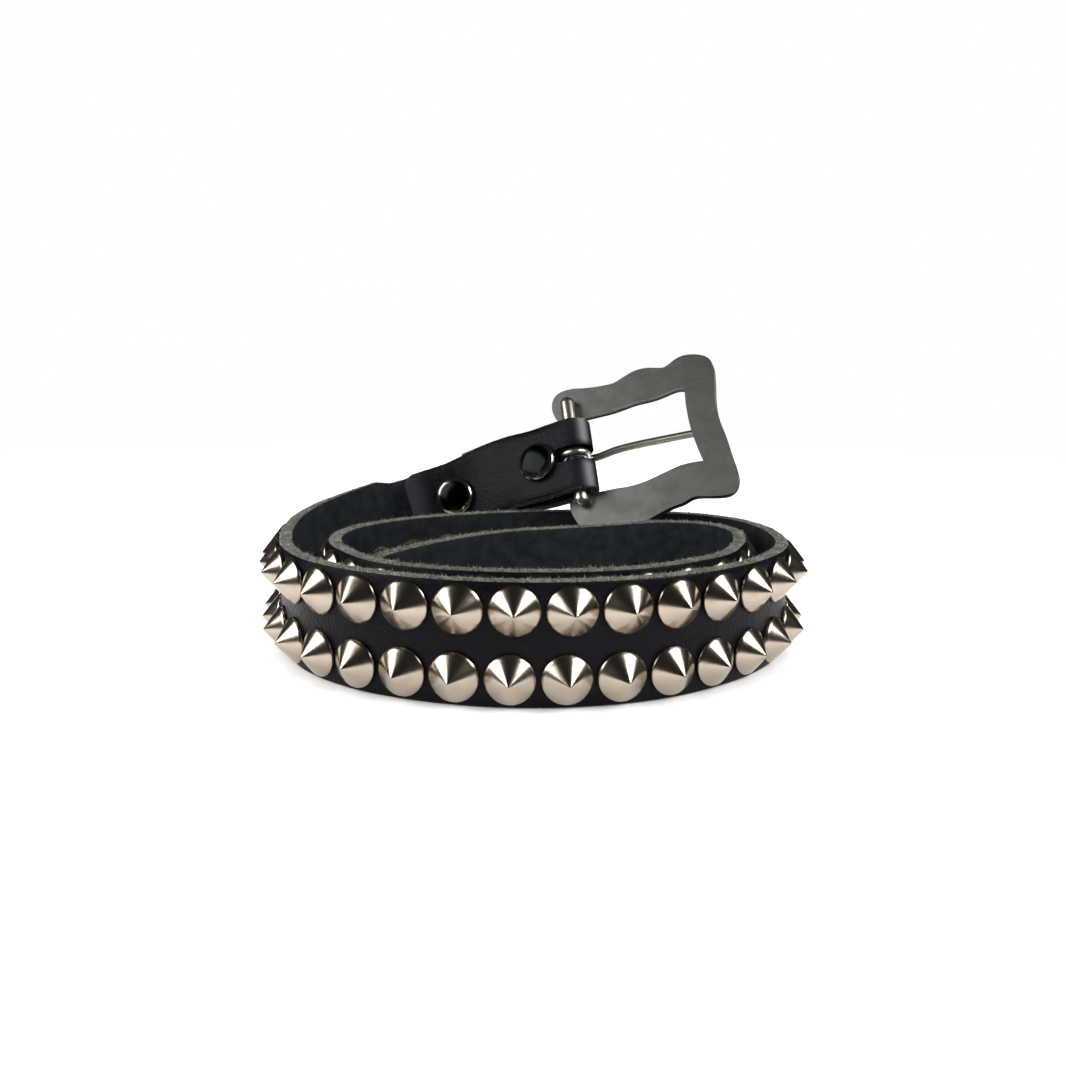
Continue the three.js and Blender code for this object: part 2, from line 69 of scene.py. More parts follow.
def table_mesh():
    mesh = bpy.data.meshes.new("table")
    rows = []
    for step in range(25):
        turn = math.pi / 2 * step / 24
        rows.append((0.9 + 0.5 * math.sin(turn), 0.5 * (1 - math.cos(turn))))
    profile = [(-1.6, 0.0)] + rows + [(1.4, 2.0)]
    verts = [(side * 2.4, y, z - 0.0002) for y, z in profile for side in (-1, 1)]
    faces = [(2 * i, 2 * i + 1, 2 * i + 3, 2 * i + 2) for i in range(len(profile) - 1)]
    mesh.from_pydata(verts, [], faces)
    for face in mesh.polygons:
        face.use_smooth = True
    return mesh


table = bpy.data.objects.new("table", table_mesh())
bpy.context.collection.objects.link(table)
table_paint = bpy.data.materials.new("table_paint")
tree, shader = nodes_of(table_paint)
shader.inputs["Base Color"].default_value = TABLE_TONE
shader.inputs["Roughness"].default_value = 0.75
shader.inputs["Specular IOR Level"].default_value = 0.2
where = tree.nodes.new("ShaderNodeTexCoord")
away = tree.nodes.new("ShaderNodeVectorMath")
away.operation = "LENGTH"
reach = put(tree, "ShaderNodeMapRange", From_Min=TABLE_NEAR, From_Max=TABLE_FAR)
table_rays = tree.nodes.new("ShaderNodeLightPath")
hidden = tree.nodes.new("ShaderNodeMath")
hidden.operation = "MULTIPLY"
gloom = put(tree, "ShaderNodeEmission", Color=(1.0, 0.98, 0.97, 1), Strength=2 * ROOM_DARK)
painted = tree.nodes.new("ShaderNodeMixShader")
tree.links.new(where.outputs["Object"], away.inputs[0])
tree.links.new(away.outputs["Value"], reach.inputs["Value"])
tree.links.new(reach.outputs[0], hidden.inputs[0])
tree.links.new(table_rays.outputs["Is Glossy Ray"], hidden.inputs[1])
tree.links.new(hidden.outputs[0], painted.inputs[0])
tree.links.new(shader.outputs[0], painted.inputs[1])
tree.links.new(gloom.outputs[0], painted.inputs[2])
horizon = put(tree, "ShaderNodeMapRange", From_Min=WHITE_FROM, From_Max=WHITE_FROM + 0.5)
whitened = tree.nodes.new("ShaderNodeMath")
whitened.operation = "MULTIPLY"
white = put(tree, "ShaderNodeEmission", Color=(1, 1, 1, 1), Strength=1.0)
backdrop = tree.nodes.new("ShaderNodeMixShader")
tree.links.new(away.outputs["Value"], horizon.inputs["Value"])
tree.links.new(horizon.outputs[0], whitened.inputs[0])
tree.links.new(table_rays.outputs["Is Camera Ray"], whitened.inputs[1])
tree.links.new(whitened.outputs[0], backdrop.inputs[0])
tree.links.new(painted.outputs[0], backdrop.inputs[1])
tree.links.new(white.outputs[0], backdrop.inputs[2])
tree.links.new(backdrop.outputs[0], tree.nodes["Material Output"].inputs["Surface"])
table.data.materials.append(table_paint)


def soft_light(name, place, aim, size, power, mirrored):
    light = bpy.data.lights.new(name, "AREA")
    light.shape = "RECTANGLE"
    light.size, light.size_y = size
    light.energy = power
    light.color = (1.0, 0.995, 0.99)
    lamp = bpy.data.objects.new(name, light)
    lamp.location = place
    lamp.rotation_euler = (Vector(aim) - Vector(place)).to_track_quat("-Z", "Y").to_euler()
    lamp.visible_glossy = mirrored
    bpy.context.collection.objects.link(lamp)


soft_light("left_light", (-0.56, -0.22, 0.33), (0, 0, 0.02), (0.52, 0.34), 3.6, True)
soft_light("right_light", (0.50, -0.26, 0.44), (0, 0, 0.02), (0.40, 0.34), 3.4, True)
soft_light("top_light", (0.0, 0.50, 0.85), (0, 0, 0), (1.0, 0.5), 5.0, False)
soft_light("wall_light", (0.0, 0.45, 1.30), (0, 1.4, 0.75), (2.2, 0.4), 14.0, False)

world = bpy.data.worlds.new("studio")
bpy.context.scene.world = world
world.use_nodes = True
sky = world.node_tree
sky.nodes.clear()
seen = put(sky, "ShaderNodeBackground", Color=(1, 1, 1, 1), Strength=1.0)
fill = put(sky, "ShaderNodeBackground", Color=(1.0, 0.995, 0.985, 1), Strength=ROOM_FILL)
dark = put(sky, "ShaderNodeBackground", Color=(1.0, 0.98, 0.97, 1), Strength=ROOM_DARK)
unlit = put(sky, "ShaderNodeMixShader")
choose = put(sky, "ShaderNodeMixShader")
rays = put(sky, "ShaderNodeLightPath")
world_out = put(sky, "ShaderNodeOutputWorld")
sky.links.new(rays.outputs["Is Glossy Ray"], unlit.inputs[0])
sky.links.new(fill.outputs[0], unlit.inputs[1])
sky.links.new(dark.outputs[0], unlit.inputs[2])
sky.links.new(rays.outputs["Is Camera Ray"], choose.inputs[0])
sky.links.new(unlit.outputs[0], choose.inputs[1])
sky.links.new(seen.outputs[0], choose.inputs[2])
sky.links.new(choose.outputs[0], world_out.inputs[0])
bpy.context.scene.view_settings.view_transform = "Standard"

camera = bpy.data.cameras.new("camera")
camera.lens = CAMERA_LENS
camera.sensor_width = 36
camera.clip_start = 0.01
camera_object = bpy.data.objects.new("camera", camera)
camera_object.location = CAMERA_PLACE
look = Matrix.Rotation(math.pi / 2 - CAMERA_DOWN, 4, "X") @ Matrix.Rotation(CAMERA_ROLL, 4, "Z")
camera_object.rotation_euler = look.to_euler()
bpy.context.collection.objects.link(camera_object)
bpy.context.scene.camera = camera_object

# Strap. One length of 4 mm vegetable tanned leather, dyed black on the grain side, cut with
# raw edges. It is folded back round the bar as a flap, coils almost twice and ends in a
# tapered tail with five punched holes.
STRAP_WIDTH = 0.032
STRAP_THICK = 0.004
ROUND_OVER = 0.0005
NARROW_WIDTH = 0.0275
SHOULDER_AT = 0.074
SHOULDER_RUN = 0.008
TAPER_END = 0.020
TAPER_START = 0.112
TIP = 0.009
TIP_FULLNESS = 0.85
FLAP = 0.070
FLAP_CORNER = 0.005
FLAP_SPACING = 0.007
BAR_RADIUS = 0.00275
BAR_EASE = 0.0004
FOLD_RADIUS = BAR_RADIUS + BAR_EASE + STRAP_THICK / 2
FOLD_EASE = 0.040
STUD_HEIGHT = 0.006
RUN_EASE = 0.0006
RUN_PITCH = STRAP_THICK + STUD_HEIGHT + RUN_EASE
COIL_WIDTH = 0.160
COIL_DEPTH = 0.120
COIL_SPINE = 0.050
HOLE_RADIUS = 0.0018
HOLE_PITCH = 0.0254
HOLE_FROM_TIP = 0.053
ROW_RAISE = 0.0002

# The front run of the coil: across and back, as shares of the coil's width and depth.
FRONT_RUN = [
    (-0.478, 0.490),
    (-0.441, 0.345),
    (-0.375, 0.211),
    (-0.281, 0.111),
    (-0.168, 0.048),
    (-0.048, 0.018),
    (0.074, 0.024),
    (0.192, 0.065),
    (0.299, 0.142),
    (0.390, 0.249),
    (0.456, 0.384),
]

# The strap's middle line from the bar to the tip: across, back, number of runs outside it,
# height of its middle over half its width, and lean of its top to the inside in degrees.
ROUTE = [
    (0.109, 0.968, 0, 1.03, -26),
    (0.031, 1.000, 0, 0.905, -24),
    (-0.050, 1.038, 0, 0.815, -19),
    (-0.175, 1.081, 0, 0.55, -13),
    (-0.312, 1.087, 0, 0.34, -11),
    (-0.412, 1.021, 0, 0.19, -8),
    (-0.481, 0.908, 0, 0.085, -5),
    (-0.506, 0.767, 0, 0.03, -2),
    (-0.500, 0.620, 0, 0, 0),
    *[(across, back, 0, 0, 0) for across, back in FRONT_RUN],
    (0.483, 0.533, 0, 0, 0),
    (0.481, 0.667, 0, 0, 0),
    (0.447, 0.800, 0, 0, 0),
    (0.369, 0.892, 0, 0, 0),
    (0.283, 1.014, 1, 0, 0),
    (0.150, 1.030, 1, 0, 0),
    (0.050, 1.024, 1, 0, 0),
    (-0.050, 1.000, 1, 0, 0),
    (-0.150, 0.953, 1, 0, 0),
    (-0.280, 0.868, 1, 0, 0),
    (-0.382, 0.748, 1, 0, 0),
    (-0.434, 0.619, 1, 0, 0),
    (-0.445, 0.478, 1, 0, 0),
    (-0.422, 0.349, 1, 0, 0),
    (-0.362, 0.220, 1, 0, 0),
    *[(across, back, 1, 0, 0) for across, back in FRONT_RUN[3:10]],
    (0.448, 0.400, 1, 0, 0),
    (0.469, 0.507, 1, 0, 0),
    (0.473, 0.640, 1, 0, 0),
    (0.438, 0.750, 1, 0, 0),
    (0.372, 0.806, 1, 0, 0),
    (0.290, 0.822, 1, 0, 0),
    (0.194, 0.806, 1, 0, 0),
    (0.109, 0.778, 1, 0, 0),
    (0.037, 0.756, 1, 0, 0),
    (-0.031, 0.738, 1, 0, 0),
    (-0.100, 0.695, 1, 0, 0),
    (-0.173, 0.637, 1, 0, 2),
    (-0.289, 0.452, 1, 0, 4),
    (-0.323, 0.345, 1, 0, 5),
    (-0.339, 0.273, 1, 0, 6),
    (-0.322, 0.230, 1, 0, 7),
]
COIL_PLACE = Vector((0.0016907, -0.0704356, 0.0000048))
PATH_SAMPLES = 1600


def smooth_curve(points, share):
    last = len(points) - 1
    spot = min(max(share, 0), 1) * last
    i = min(int(spot), last - 1)
    weight = spot - i
    b, c = points[i], points[i + 1]
    a = points[i - 1] if i > 0 else b * 2 - c
    d = points[i + 2] if i + 2 <= last else c * 2 - b
    step_a = math.sqrt((b - a).length)
    step_b = math.sqrt((c - b).length)
    step_c = math.sqrt((d - c).length)
    start = ((b - a) / step_a - (c - a) / (step_a + step_b) + (c - b) / step_b) * step_b
    end = ((c - b) / step_b - (d - b) / (step_b + step_c) + (d - c) / step_c) * step_b
    square = weight * weight
    cube = square * weight
    return (
        b
        + start * weight
        + (b * -3 + c * 3 - start * 2 - end) * square
        + (b * 2 - c * 2 + start + end) * cube
    )


def route_point(across, back, laps, rise, lean):
    point = Vector((across * COIL_WIDTH, back * COIL_DEPTH, 0))
    spine = Vector((min(max(point.x, -COIL_SPINE / 2), COIL_SPINE / 2), COIL_DEPTH / 2, 0))
    point += (spine - point).normalized() * laps * RUN_PITCH
    point.z = STRAP_WIDTH * (0.5 + rise)
    return point * 1000


route_points = [route_point(*row) for row in ROUTE]
lean_points = [Vector((i, math.radians(row[4]), 0)) for i, row in enumerate(ROUTE)]
path_points = []
path_leans = []
path_lengths = [0.0]
for i in range(PATH_SAMPLES + 1):
    point = smooth_curve(route_points, i / PATH_SAMPLES) / 1000
    point.z = max(point.z, STRAP_WIDTH / 2)
    path_points.append(point)
    path_leans.append(smooth_curve(lean_points, i / PATH_SAMPLES).y)
    if i:
        path_lengths.append(path_lengths[-1] + (point - path_points[-2]).length)
STRAP_LENGTH = path_lengths[-1]


def strap_at(distance):
    wanted = min(max(distance, 0), STRAP_LENGTH)
    low, high = 1, PATH_SAMPLES
    while low < high:
        mid = (low + high) // 2
        if path_lengths[mid] < wanted:
            low = mid + 1
        else:
            high = mid
    share = (wanted - path_lengths[low - 1]) / (path_lengths[low] - path_lengths[low - 1])
    place = path_points[low - 1].lerp(path_points[low], share) + COIL_PLACE
    whole = (low - 1 + share) / PATH_SAMPLES
    ahead = smooth_curve(route_points, min(whole + 0.0001, 1))
    along = (ahead - smooth_curve(route_points, max(whole - 0.0001, 0))).normalized()
    lean = path_leans[low - 1] + (path_leans[low] - path_leans[low - 1]) * share
    outward = along.cross(Vector((0, 0, 1))).normalized()
    outward.rotate(Matrix.Rotation(-lean, 3, along))
    upward = outward.cross(along).normalized()
    return place, along, outward, upward


def ease(value, start, end):
    share = min(max((value - start) / (end - start), 0), 1)
    return share * share * (3 - 2 * share)


def flap_spacing(distance):
    return 2 * FOLD_RADIUS + (FLAP_SPACING - 2 * FOLD_RADIUS) * ease(distance, 0, FOLD_EASE)


def flap_at(distance):
    place, along, outward, upward = strap_at(distance)
    slope = (flap_spacing(distance + 0.0005) - flap_spacing(distance - 0.0005)) / 0.001
    leaning = (along - outward * slope).normalized()
    grain = -leaning.cross(upward).normalized()
    return place - outward * flap_spacing(distance), grain, upward


def strap_half_width(distance):
    narrow, full = NARROW_WIDTH / 2, STRAP_WIDTH / 2
    left = STRAP_LENGTH - distance
    widen_in = ease(distance, SHOULDER_AT, SHOULDER_AT + SHOULDER_RUN)
    widen_out = min(max((left - TAPER_END) / (TAPER_START - TAPER_END), 0), 1)
    body = narrow + (full - narrow) * min(widen_in, widen_out)
    into_tip = min(max(1 - left / TIP, 0), 1)
    return body * math.sqrt(1 - (into_tip * TIP_FULLNESS) ** 2)


def flap_half_width(distance):
    into = min(max(1 - (FLAP - distance) / FLAP_CORNER, 0), 1)
    return NARROW_WIDTH / 2 - FLAP_CORNER * (1 - math.sqrt(1 - into * into))


bar_end, bar_along, bar_outward, BAR_UP = strap_at(0)
BAR_OUT = -bar_along
BAR_FRONT = -bar_outward
BAR_PLACE = bar_end + BAR_FRONT * FOLD_RADIUS


def strap_rings(step):
    rings = []
    count = round(FLAP / step)
    corner = [FLAP - FLAP_CORNER * (i / 8) ** 2 for i in range(9)]
    rest = [(FLAP - FLAP_CORNER) * (1 - (i + 1) / count) for i in range(count)]
    for distance in corner + rest:
        place, grain, upward = flap_at(distance)
        # Painted sheen: the grain is made lighter over the flap's last stretch and where the flap
        # leaves the fold.
        painted_sheen = 0.13 * ease(distance, FLAP - 0.012, FLAP - 0.002)
        painted_sheen += 0.03 * (1 - ease(distance, 0, 0.012))
        rings.append((place, grain, upward, flap_half_width(distance), painted_sheen))
    for i in range(1, 24):
        turn = math.pi * i / 24
        grain = BAR_FRONT * math.cos(turn) + BAR_OUT * math.sin(turn)
        # Painted highlight: a lighter strip along one side of the fold round the bar.
        painted_sheen = 0.03 + 0.97 * math.exp(-(((turn - 0.95) / 0.26) ** 2))
        rings.append((BAR_PLACE + grain * FOLD_RADIUS, grain, BAR_UP, NARROW_WIDTH / 2, painted_sheen))
    count = round((STRAP_LENGTH - TIP) / step)
    distances = [step / 4] + [(STRAP_LENGTH - TIP) * (i + 1) / count for i in range(count)]
    distances += [STRAP_LENGTH - TIP * (1 - i / 10) ** 2 for i in range(1, 11)]
    for distance in distances:
        place, _, outward, upward = strap_at(distance)
        rings.append((place, outward, upward, strap_half_width(distance), 0))
    return rings


def group_socket(tree, name, way, kind, value=None):
    socket = tree.interface.new_socket(name=name, in_out=way, socket_type=kind)
    if value is not None:
        socket.default_value = value


# Leather marks: fine pebbles and creases as a height, and slow patches of wear as a mask.
leather_marks = bpy.data.node_groups.new("leather_marks", "ShaderNodeTree")
group_socket(leather_marks, "Pebble Size", "INPUT", "NodeSocketFloat", 1100)
group_socket(leather_marks, "Crease Size", "INPUT", "NodeSocketFloat", 120)
group_socket(leather_marks, "Crease Depth", "INPUT", "NodeSocketFloat", 0.6)
group_socket(leather_marks, "Patch Size", "INPUT", "NodeSocketFloat", 28)
group_socket(leather_marks, "Height", "OUTPUT", "NodeSocketFloat")
group_socket(leather_marks, "Wear", "OUTPUT", "NodeSocketFloat")
marks_in = leather_marks.nodes.new("NodeGroupInput")
marks_out = leather_marks.nodes.new("NodeGroupOutput")
marks_where = leather_marks.nodes.new("ShaderNodeTexCoord")
pebbles = put(leather_marks, "ShaderNodeTexVoronoi", Randomness=0.9)
creases = put(leather_marks, "ShaderNodeTexNoise", Detail=6.0, Roughness=0.6, Distortion=0.8)
patches = put(leather_marks, "ShaderNodeTexNoise", Detail=5.0, Roughness=0.65)
patch_ramp = leather_marks.nodes.new("ShaderNodeMapRange")
patch_ramp.inputs["From Min"].default_value = 0.38
patch_ramp.inputs["From Max"].default_value = 0.68
crease_part = leather_marks.nodes.new("ShaderNodeMath")
crease_part.operation = "MULTIPLY"
marks_sum = leather_marks.nodes.new("ShaderNodeMath")
marks_sum.operation = "ADD"
for texture in (pebbles, creases, patches):
    leather_marks.links.new(marks_where.outputs["Object"], texture.inputs["Vector"])
leather_marks.links.new(marks_in.outputs["Pebble Size"], pebbles.inputs["Scale"])
leather_marks.links.new(marks_in.outputs["Crease Size"], creases.inputs["Scale"])
leather_marks.links.new(marks_in.outputs["Patch Size"], patches.inputs["Scale"])
leather_marks.links.new(creases.outputs[0], crease_part.inputs[0])
leather_marks.links.new(marks_in.outputs["Crease Depth"], crease_part.inputs[1])
leather_marks.links.new(pebbles.outputs["Distance"], marks_sum.inputs[0])
leather_marks.links.new(crease_part.outputs[0], marks_sum.inputs[1])
leather_marks.links.new(marks_sum.outputs[0], marks_out.inputs["Height"])
leather_marks.links.new(patches.outputs[0], patch_ramp.inputs["Value"])
leather_marks.links.new(patch_ramp.outputs[0], marks_out.inputs["Wear"])


def blend_colours(tree, mask, first, second):
    mix = tree.nodes.new("ShaderNodeMix")
    mix.data_type = "RGBA"
    mix.inputs[6].default_value = first
    mix.inputs[7].default_value = second
    tree.links.new(mask, mix.inputs[0])
    return mix.outputs[2]


def blend_values(tree, mask, first, second):
    spread = tree.nodes.new("ShaderNodeMapRange")
    spread.inputs["To Min"].default_value = first
    spread.inputs["To Max"].default_value = second
    tree.links.new(mask, spread.inputs["Value"])
    return spread.outputs[0]


def raise_surface(tree, shader, height, strength, depth):
    bump = put(tree, "ShaderNodeBump", Strength=strength, Distance=depth)
    tree.links.new(height, bump.inputs["Height"])
    tree.links.new(bump.outputs[0], shader.inputs["Normal"])


# Painted sheen: where the mesh asks for it, the surface's own tone gives way to a lighter painted
# highlight.
def paint_sheen(tree, tone, sheen_tone):
    sheen_shares = tree.nodes.new("ShaderNodeAttribute")
    sheen_shares.attribute_name = "painted_sheen"
    lighter = tree.nodes.new("ShaderNodeMix")
    lighter.data_type = "RGBA"
    lighter.inputs[7].default_value = sheen_tone
    tree.links.new(sheen_shares.outputs["Fac"], lighter.inputs[0])
    tree.links.new(tone, lighter.inputs[6])
    return lighter.outputs[2]


def leather(name, dark, worn, rough, sizes, crease_depth, bump, shine, painted_sheen=None):
    made = bpy.data.materials.new(name)
    tree, shader = nodes_of(made)
    marks = tree.nodes.new("ShaderNodeGroup")
    marks.node_tree = leather_marks
    marks.inputs["Pebble Size"].default_value = sizes[0]
    marks.inputs["Crease Size"].default_value = sizes[1]
    marks.inputs["Patch Size"].default_value = sizes[2]
    marks.inputs["Crease Depth"].default_value = crease_depth
    wear = marks.outputs["Wear"]
    tone = blend_colours(tree, wear, dark, worn)
    polish = blend_values(tree, wear, rough[0], rough[1])
    if painted_sheen:
        tone = paint_sheen(tree, tone, painted_sheen)
    tree.links.new(tone, shader.inputs["Base Color"])
    tree.links.new(polish, shader.inputs["Roughness"])
    raise_surface(tree, shader, marks.outputs["Height"], bump[0], bump[1])
    shader.inputs["Specular IOR Level"].default_value = shine
    return made


# The grain leather's last tone is the painted sheen laid over the fold and the flap's end.
grain_leather = leather(
    "grain_leather", (0.0024, 0.0024, 0.0038, 1), (0.0050, 0.0050, 0.0074, 1), (0.34, 0.48),
    (950, 130, 40), 1.1, (0.35, 0.0003), 0.07, (0.150, 0.147, 0.168, 1),
)
flesh_leather = leather(
    "flesh_leather", (0.0060, 0.0075, 0.0095, 1), (0.0150, 0.0180, 0.0210, 1), (0.85, 0.95),
    (2300, 420, 260), 1.6, (0.55, 0.0004), 0.12,
)
edge_leather = leather(
    "edge_leather", (0.018, 0.021, 0.018, 1), (0.225, 0.240, 0.195, 1), (0.9, 1.0),
    (3200, 1500, 1100), 2.4, (0.9, 0.0009), 0.1,
)
GRAIN, FLESH, EDGE = 0, 1, 2
LEATHER = (grain_leather, flesh_leather, edge_leather)


# Points round the strap's section, from the grain side over the top edge to the flesh side and
# back: height over the middle line, step out towards the grain side, and kind of surface.
def strap_section(half):
    thick = STRAP_THICK / 2
    rows = []
    for i in range(11):
        rows.append((half * (-1 + 2 * i / 10) * (1 - ROUND_OVER / half), thick, GRAIN))
    rows.append((half - 0.00012, thick - 0.00025, GRAIN))
    for share in (0.72, 0.3, -0.3, -0.75):
        rows.append((half, thick * share, EDGE))
    rows.append((half - 0.0002, -thick + 0.0002, FLESH))
    for i in range(11):
        rows.append((half * (1 - 2 * i / 10) * (1 - ROUND_OVER / half), -thick, FLESH))
    rows.append((-half + 0.0002, -thick + 0.0002, EDGE))
    for share in (-0.75, -0.3, 0.3, 0.72):
        rows.append((-half, thick * share, EDGE))
    rows.append((-half + 0.00012, thick - 0.00025, GRAIN))
    return rows


def ribbon(name, rings, roughen, seed):
    verts, faces, kinds, sheen_shares = [], [], [], []
    count = len(strap_section(STRAP_WIDTH / 2))
    for number, (place, grain, upward, half, painted_sheen) in enumerate(rings):
        section = strap_section(half)
        for high, out, kind in section:
            point = place + upward * high + grain * out
            if kind == EDGE:
                shift = noise.noise(point * 700 + Vector((seed, 0, 0))) * roughen
                shift += noise.noise(point * 2100 + Vector((0, seed, 0))) * roughen
                point += upward * shift * (1 if high > 0 else -0.3)
            verts.append(point)
            sheen_shares.append(painted_sheen)
        if number:
            a = (number - 1) * count
            b = number * count
            for side in range(count):
                after = (side + 1) % count
                faces.append((a + side, a + after, b + after, b + side))
                edge = section[side][2] == EDGE or section[after][2] == EDGE
                kinds.append(EDGE if edge else section[side][2])
    faces.append(tuple(range(count)))
    kinds.append(EDGE)
    last = (len(rings) - 1) * count
    faces.append(tuple(last + i for i in reversed(range(count))))
    kinds.append(EDGE)
    mesh = bpy.data.meshes.new(name)
    mesh.from_pydata(verts, [], faces)
    for material in LEATHER:
        mesh.materials.append(material)
    for face, kind in zip(mesh.polygons, kinds):
        face.material_index = kind
        face.use_smooth = True
    # Each point's share of painted sheen.
    mesh.attributes.new("painted_sheen", "FLOAT", "POINT").data.foreach_set("value", sheen_shares)
    piece = bpy.data.objects.new(name, mesh)
    bpy.context.collection.objects.link(piece)
    return piece


RING_STEP = 0.0008
EDGE_ROUGHNESS = 0.00016
strap = ribbon("leather_strap", strap_rings(RING_STEP), EDGE_ROUGHNESS, 3)


def cut(piece, cutter, name):
    bpy.context.collection.objects.link(cutter)
    step = piece.modifiers.new(name, "BOOLEAN")
    step.operation = "DIFFERENCE"
    step.solver = "EXACT"
    step.object = cutter
    bpy.context.view_layer.update()
    shaped = piece.evaluated_get(bpy.context.evaluated_depsgraph_get())
    mesh = bpy.data.meshes.new_from_object(shaped)
    piece.modifiers.clear()
    piece.data = mesh
    bpy.data.objects.remove(cutter)


# A rod-shaped cutter with a given outline, standing at a place along one direction.
def rod_cutter(name, outline, place, side, upward, along, reach):
    verts = []
    for end in (-reach, reach):
        for across, high in outline:
            verts.append(place + side * across + upward * high + along * end)
    count = len(outline)
    faces = [tuple(reversed(range(count))), tuple(count + i for i in range(count))]
    for i in range(count):
        after = (i + 1) % count
        faces.append((i, after, count + after, count + i))
    mesh = bpy.data.meshes.new(name)
    mesh.from_pydata(verts, [], faces)
    for material in LEATHER:
        mesh.materials.append(material)
    for face in mesh.polygons:
        face.material_index = EDGE
    return bpy.data.objects.new(name, mesh)


for i in range(5):
    place, along, outward, upward = strap_at(STRAP_LENGTH - HOLE_FROM_TIP - i * HOLE_PITCH)
    round_outline = [
        (HOLE_RADIUS * math.cos(math.tau * k / 28), HOLE_RADIUS * math.sin(math.tau * k / 28))
        for k in range(28)
    ]
    middle = place + upward * ROW_RAISE
    punch = rod_cutter("punch", round_outline, middle, along, upward, outward, 1.5 * STRAP_THICK)
    cut(strap, punch, "belt_hole")

SLOT_HALF = 0.0028
SLOT_REACH = 0.0062
slot_outline = [(FOLD_RADIUS + STRAP_THICK, SLOT_HALF)]
for k in range(17):
    turn = math.pi / 2 + math.pi * k / 16
    slot_outline.append(
        (SLOT_HALF - SLOT_REACH + SLOT_HALF * math.cos(turn), SLOT_HALF * math.sin(turn))
    )
slot_outline.append((FOLD_RADIUS + STRAP_THICK, -SLOT_HALF))
slot_cutter = rod_cutter(
    "slot", slot_outline, BAR_PLACE, BAR_OUT, BAR_UP, BAR_FRONT, 3 * STRAP_THICK
)
cut(strap, slot_cutter, "prong_slot")


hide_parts("studded_strap")
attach(strap, "belt")

# Loose fibres. Short pale fibres of the hide stand out of the strap's raw cut edges.
FIBRE_COUNT = 16000
FIBRE_THICK = 0.00007


def fibre_mesh():
    picker = random.Random(41)
    verts, faces = [], []
    for _ in range(FIBRE_COUNT):
        distance = picker.uniform(0.0, STRAP_LENGTH - 0.004)
        place, along, outward, upward = strap_at(distance)
        high = strap_half_width(distance) - 0.0001
        across = picker.uniform(-0.9, 0.9) * STRAP_THICK / 2
        length = picker.uniform(0.0002, 0.0006) + 0.0009 * picker.random() ** 6
        lean = Vector((picker.uniform(-1, 1), picker.uniform(-1, 1), 0)) * 0.9
        root = place + upward * high + outward * across
        heading = (upward + along * lean.x + outward * lean.y).normalized()
        bend = (along * picker.uniform(-1, 1) + outward * picker.uniform(-1, 1)) * length * 0.4
        base = len(verts)
        for far, size in ((0.0, 1.0), (0.55, 0.8)):
            middle = root + heading * length * far + bend * far * far
            for corner in range(3):
                turn = math.tau * corner / 3
                step = along * math.cos(turn) + outward * math.sin(turn)
                verts.append(middle + step * FIBRE_THICK * size)
        verts.append(root + heading * length + bend)
        for corner in range(3):
            after = (corner + 1) % 3
            faces.append((base + corner, base + after, base + 3 + after, base + 3 + corner))
            faces.append((base + 3 + corner, base + 3 + after, base + 6))
        faces.append((base + 2, base + 1, base))
    mesh = bpy.data.meshes.new("edge_fibres")
    mesh.from_pydata(verts, [], faces)
    return mesh


fibres = bpy.data.objects.new("edge_fibres", fibre_mesh())
bpy.context.collection.objects.link(fibres)
fibre_hair = leather(
    "fibre_hair", (0.10, 0.11, 0.095, 1), (0.34, 0.35, 0.30, 1), (0.85, 0.95),
    (900, 400, 300), 0.5, (0.1, 0.0001), 0.1,
)
fibres.data.materials.append(fibre_hair)
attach(fibres, "belt")

# Cone studs. Each is pressed and turned from nickel-plated steel: a low straight rim with a
# small bevel, a slightly rounded shoulder and a blunt point. They stand in two rows.
STUD_RADIUS = 0.0065
STUD_PITCH = 0.01365
STUD_FROM_TIP = 0.00993
STUD_START = 0.112
ROW_SPACING = 0.0173
ROW_STAGGER = 0.00107
STUD_PROFILE = [
    (0.97, -0.05),
    (1.0, 0.0),
    (1.0, 0.12),
    (0.975, 0.17),
    (0.90, 0.235),
    (0.78, 0.345),
    (0.60, 0.51),
    (0.38, 0.70),
    (0.18, 0.865),
    (0.07, 0.955),
    (0.025, 0.99),
]


def turned(verts, faces, profile, place, side, across, axis, count):
    base = len(verts)
    for radius, height in profile:
        for k in range(count):
            turn = math.tau * k / count
            step = side * math.cos(turn) + across * math.sin(turn)
            verts.append(place + step * radius + axis * height)
    for row in range(len(profile) - 1):
        for k in range(count):
            after = (k + 1) % count
            a = base + row * count
            faces.append((a + k, a + after, a + count + after, a + count + k))
    faces.append(tuple(base + k for k in reversed(range(count))))
    top = base + (len(profile) - 1) * count
    faces.append(tuple(top + k for k in range(count)))


def mesh_piece(name, verts, faces, materials, sharp=40):
    mesh = bpy.data.meshes.new(name)
    mesh.from_pydata(verts, [], faces)
    for face in mesh.polygons:
        face.use_smooth = True
    mesh.set_sharp_from_angle(angle=math.radians(sharp))
    for material in materials:
        mesh.materials.append(material)
    piece = bpy.data.objects.new(name, mesh)
    bpy.context.collection.objects.link(piece)
    return piece


